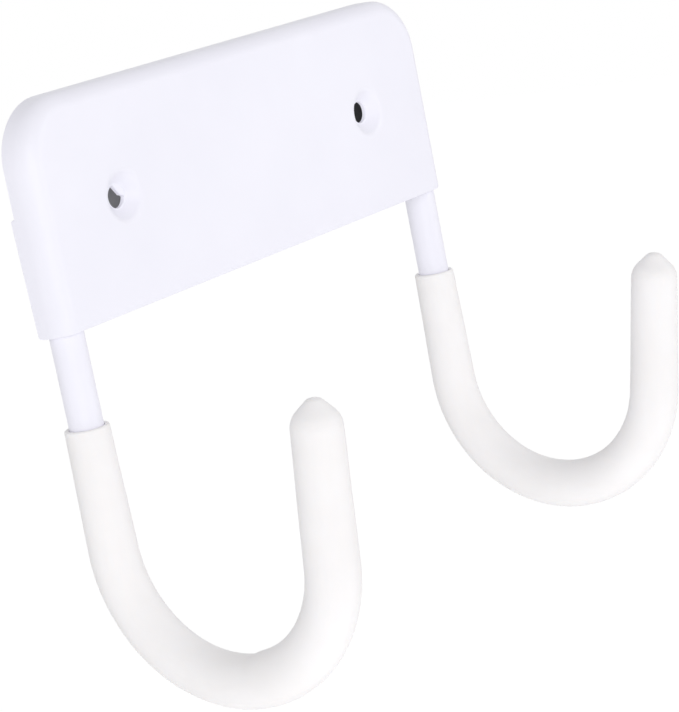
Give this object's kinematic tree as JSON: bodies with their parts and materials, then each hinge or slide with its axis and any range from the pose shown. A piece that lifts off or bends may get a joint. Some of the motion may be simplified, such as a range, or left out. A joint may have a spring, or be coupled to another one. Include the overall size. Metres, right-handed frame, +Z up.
{
  "type": "ironing board hanger",
  "caption": "Wall hanger: a pressed steel cover with dimpled screw holes and round bar hooks in soft sleeves, which hold an ironing board by its legs.",
  "frame": {"origin": "on the wall plane, behind the middle of the cover", "axes": "+X to the right of someone who faces the wall, +Y into the wall, +Z up"},
  "size_m": [0.1566, 0.0778, 0.14],
  "materials": {
    "coated_steel": "smooth white powder coat with a cool tint, semi-gloss",
    "soft_sleeve": "soft white vinyl, satin"
  },
  "bodies": {
    "root": {"cover_plate": "coated_steel", "left_hook_rod": "coated_steel", "right_hook_rod": "coated_steel", "left_rod_welds": "coated_steel", "right_rod_welds": "coated_steel", "left_hook_sleeve": "soft_sleeve", "right_hook_sleeve": "soft_sleeve"}
  },
  "joints": []
}
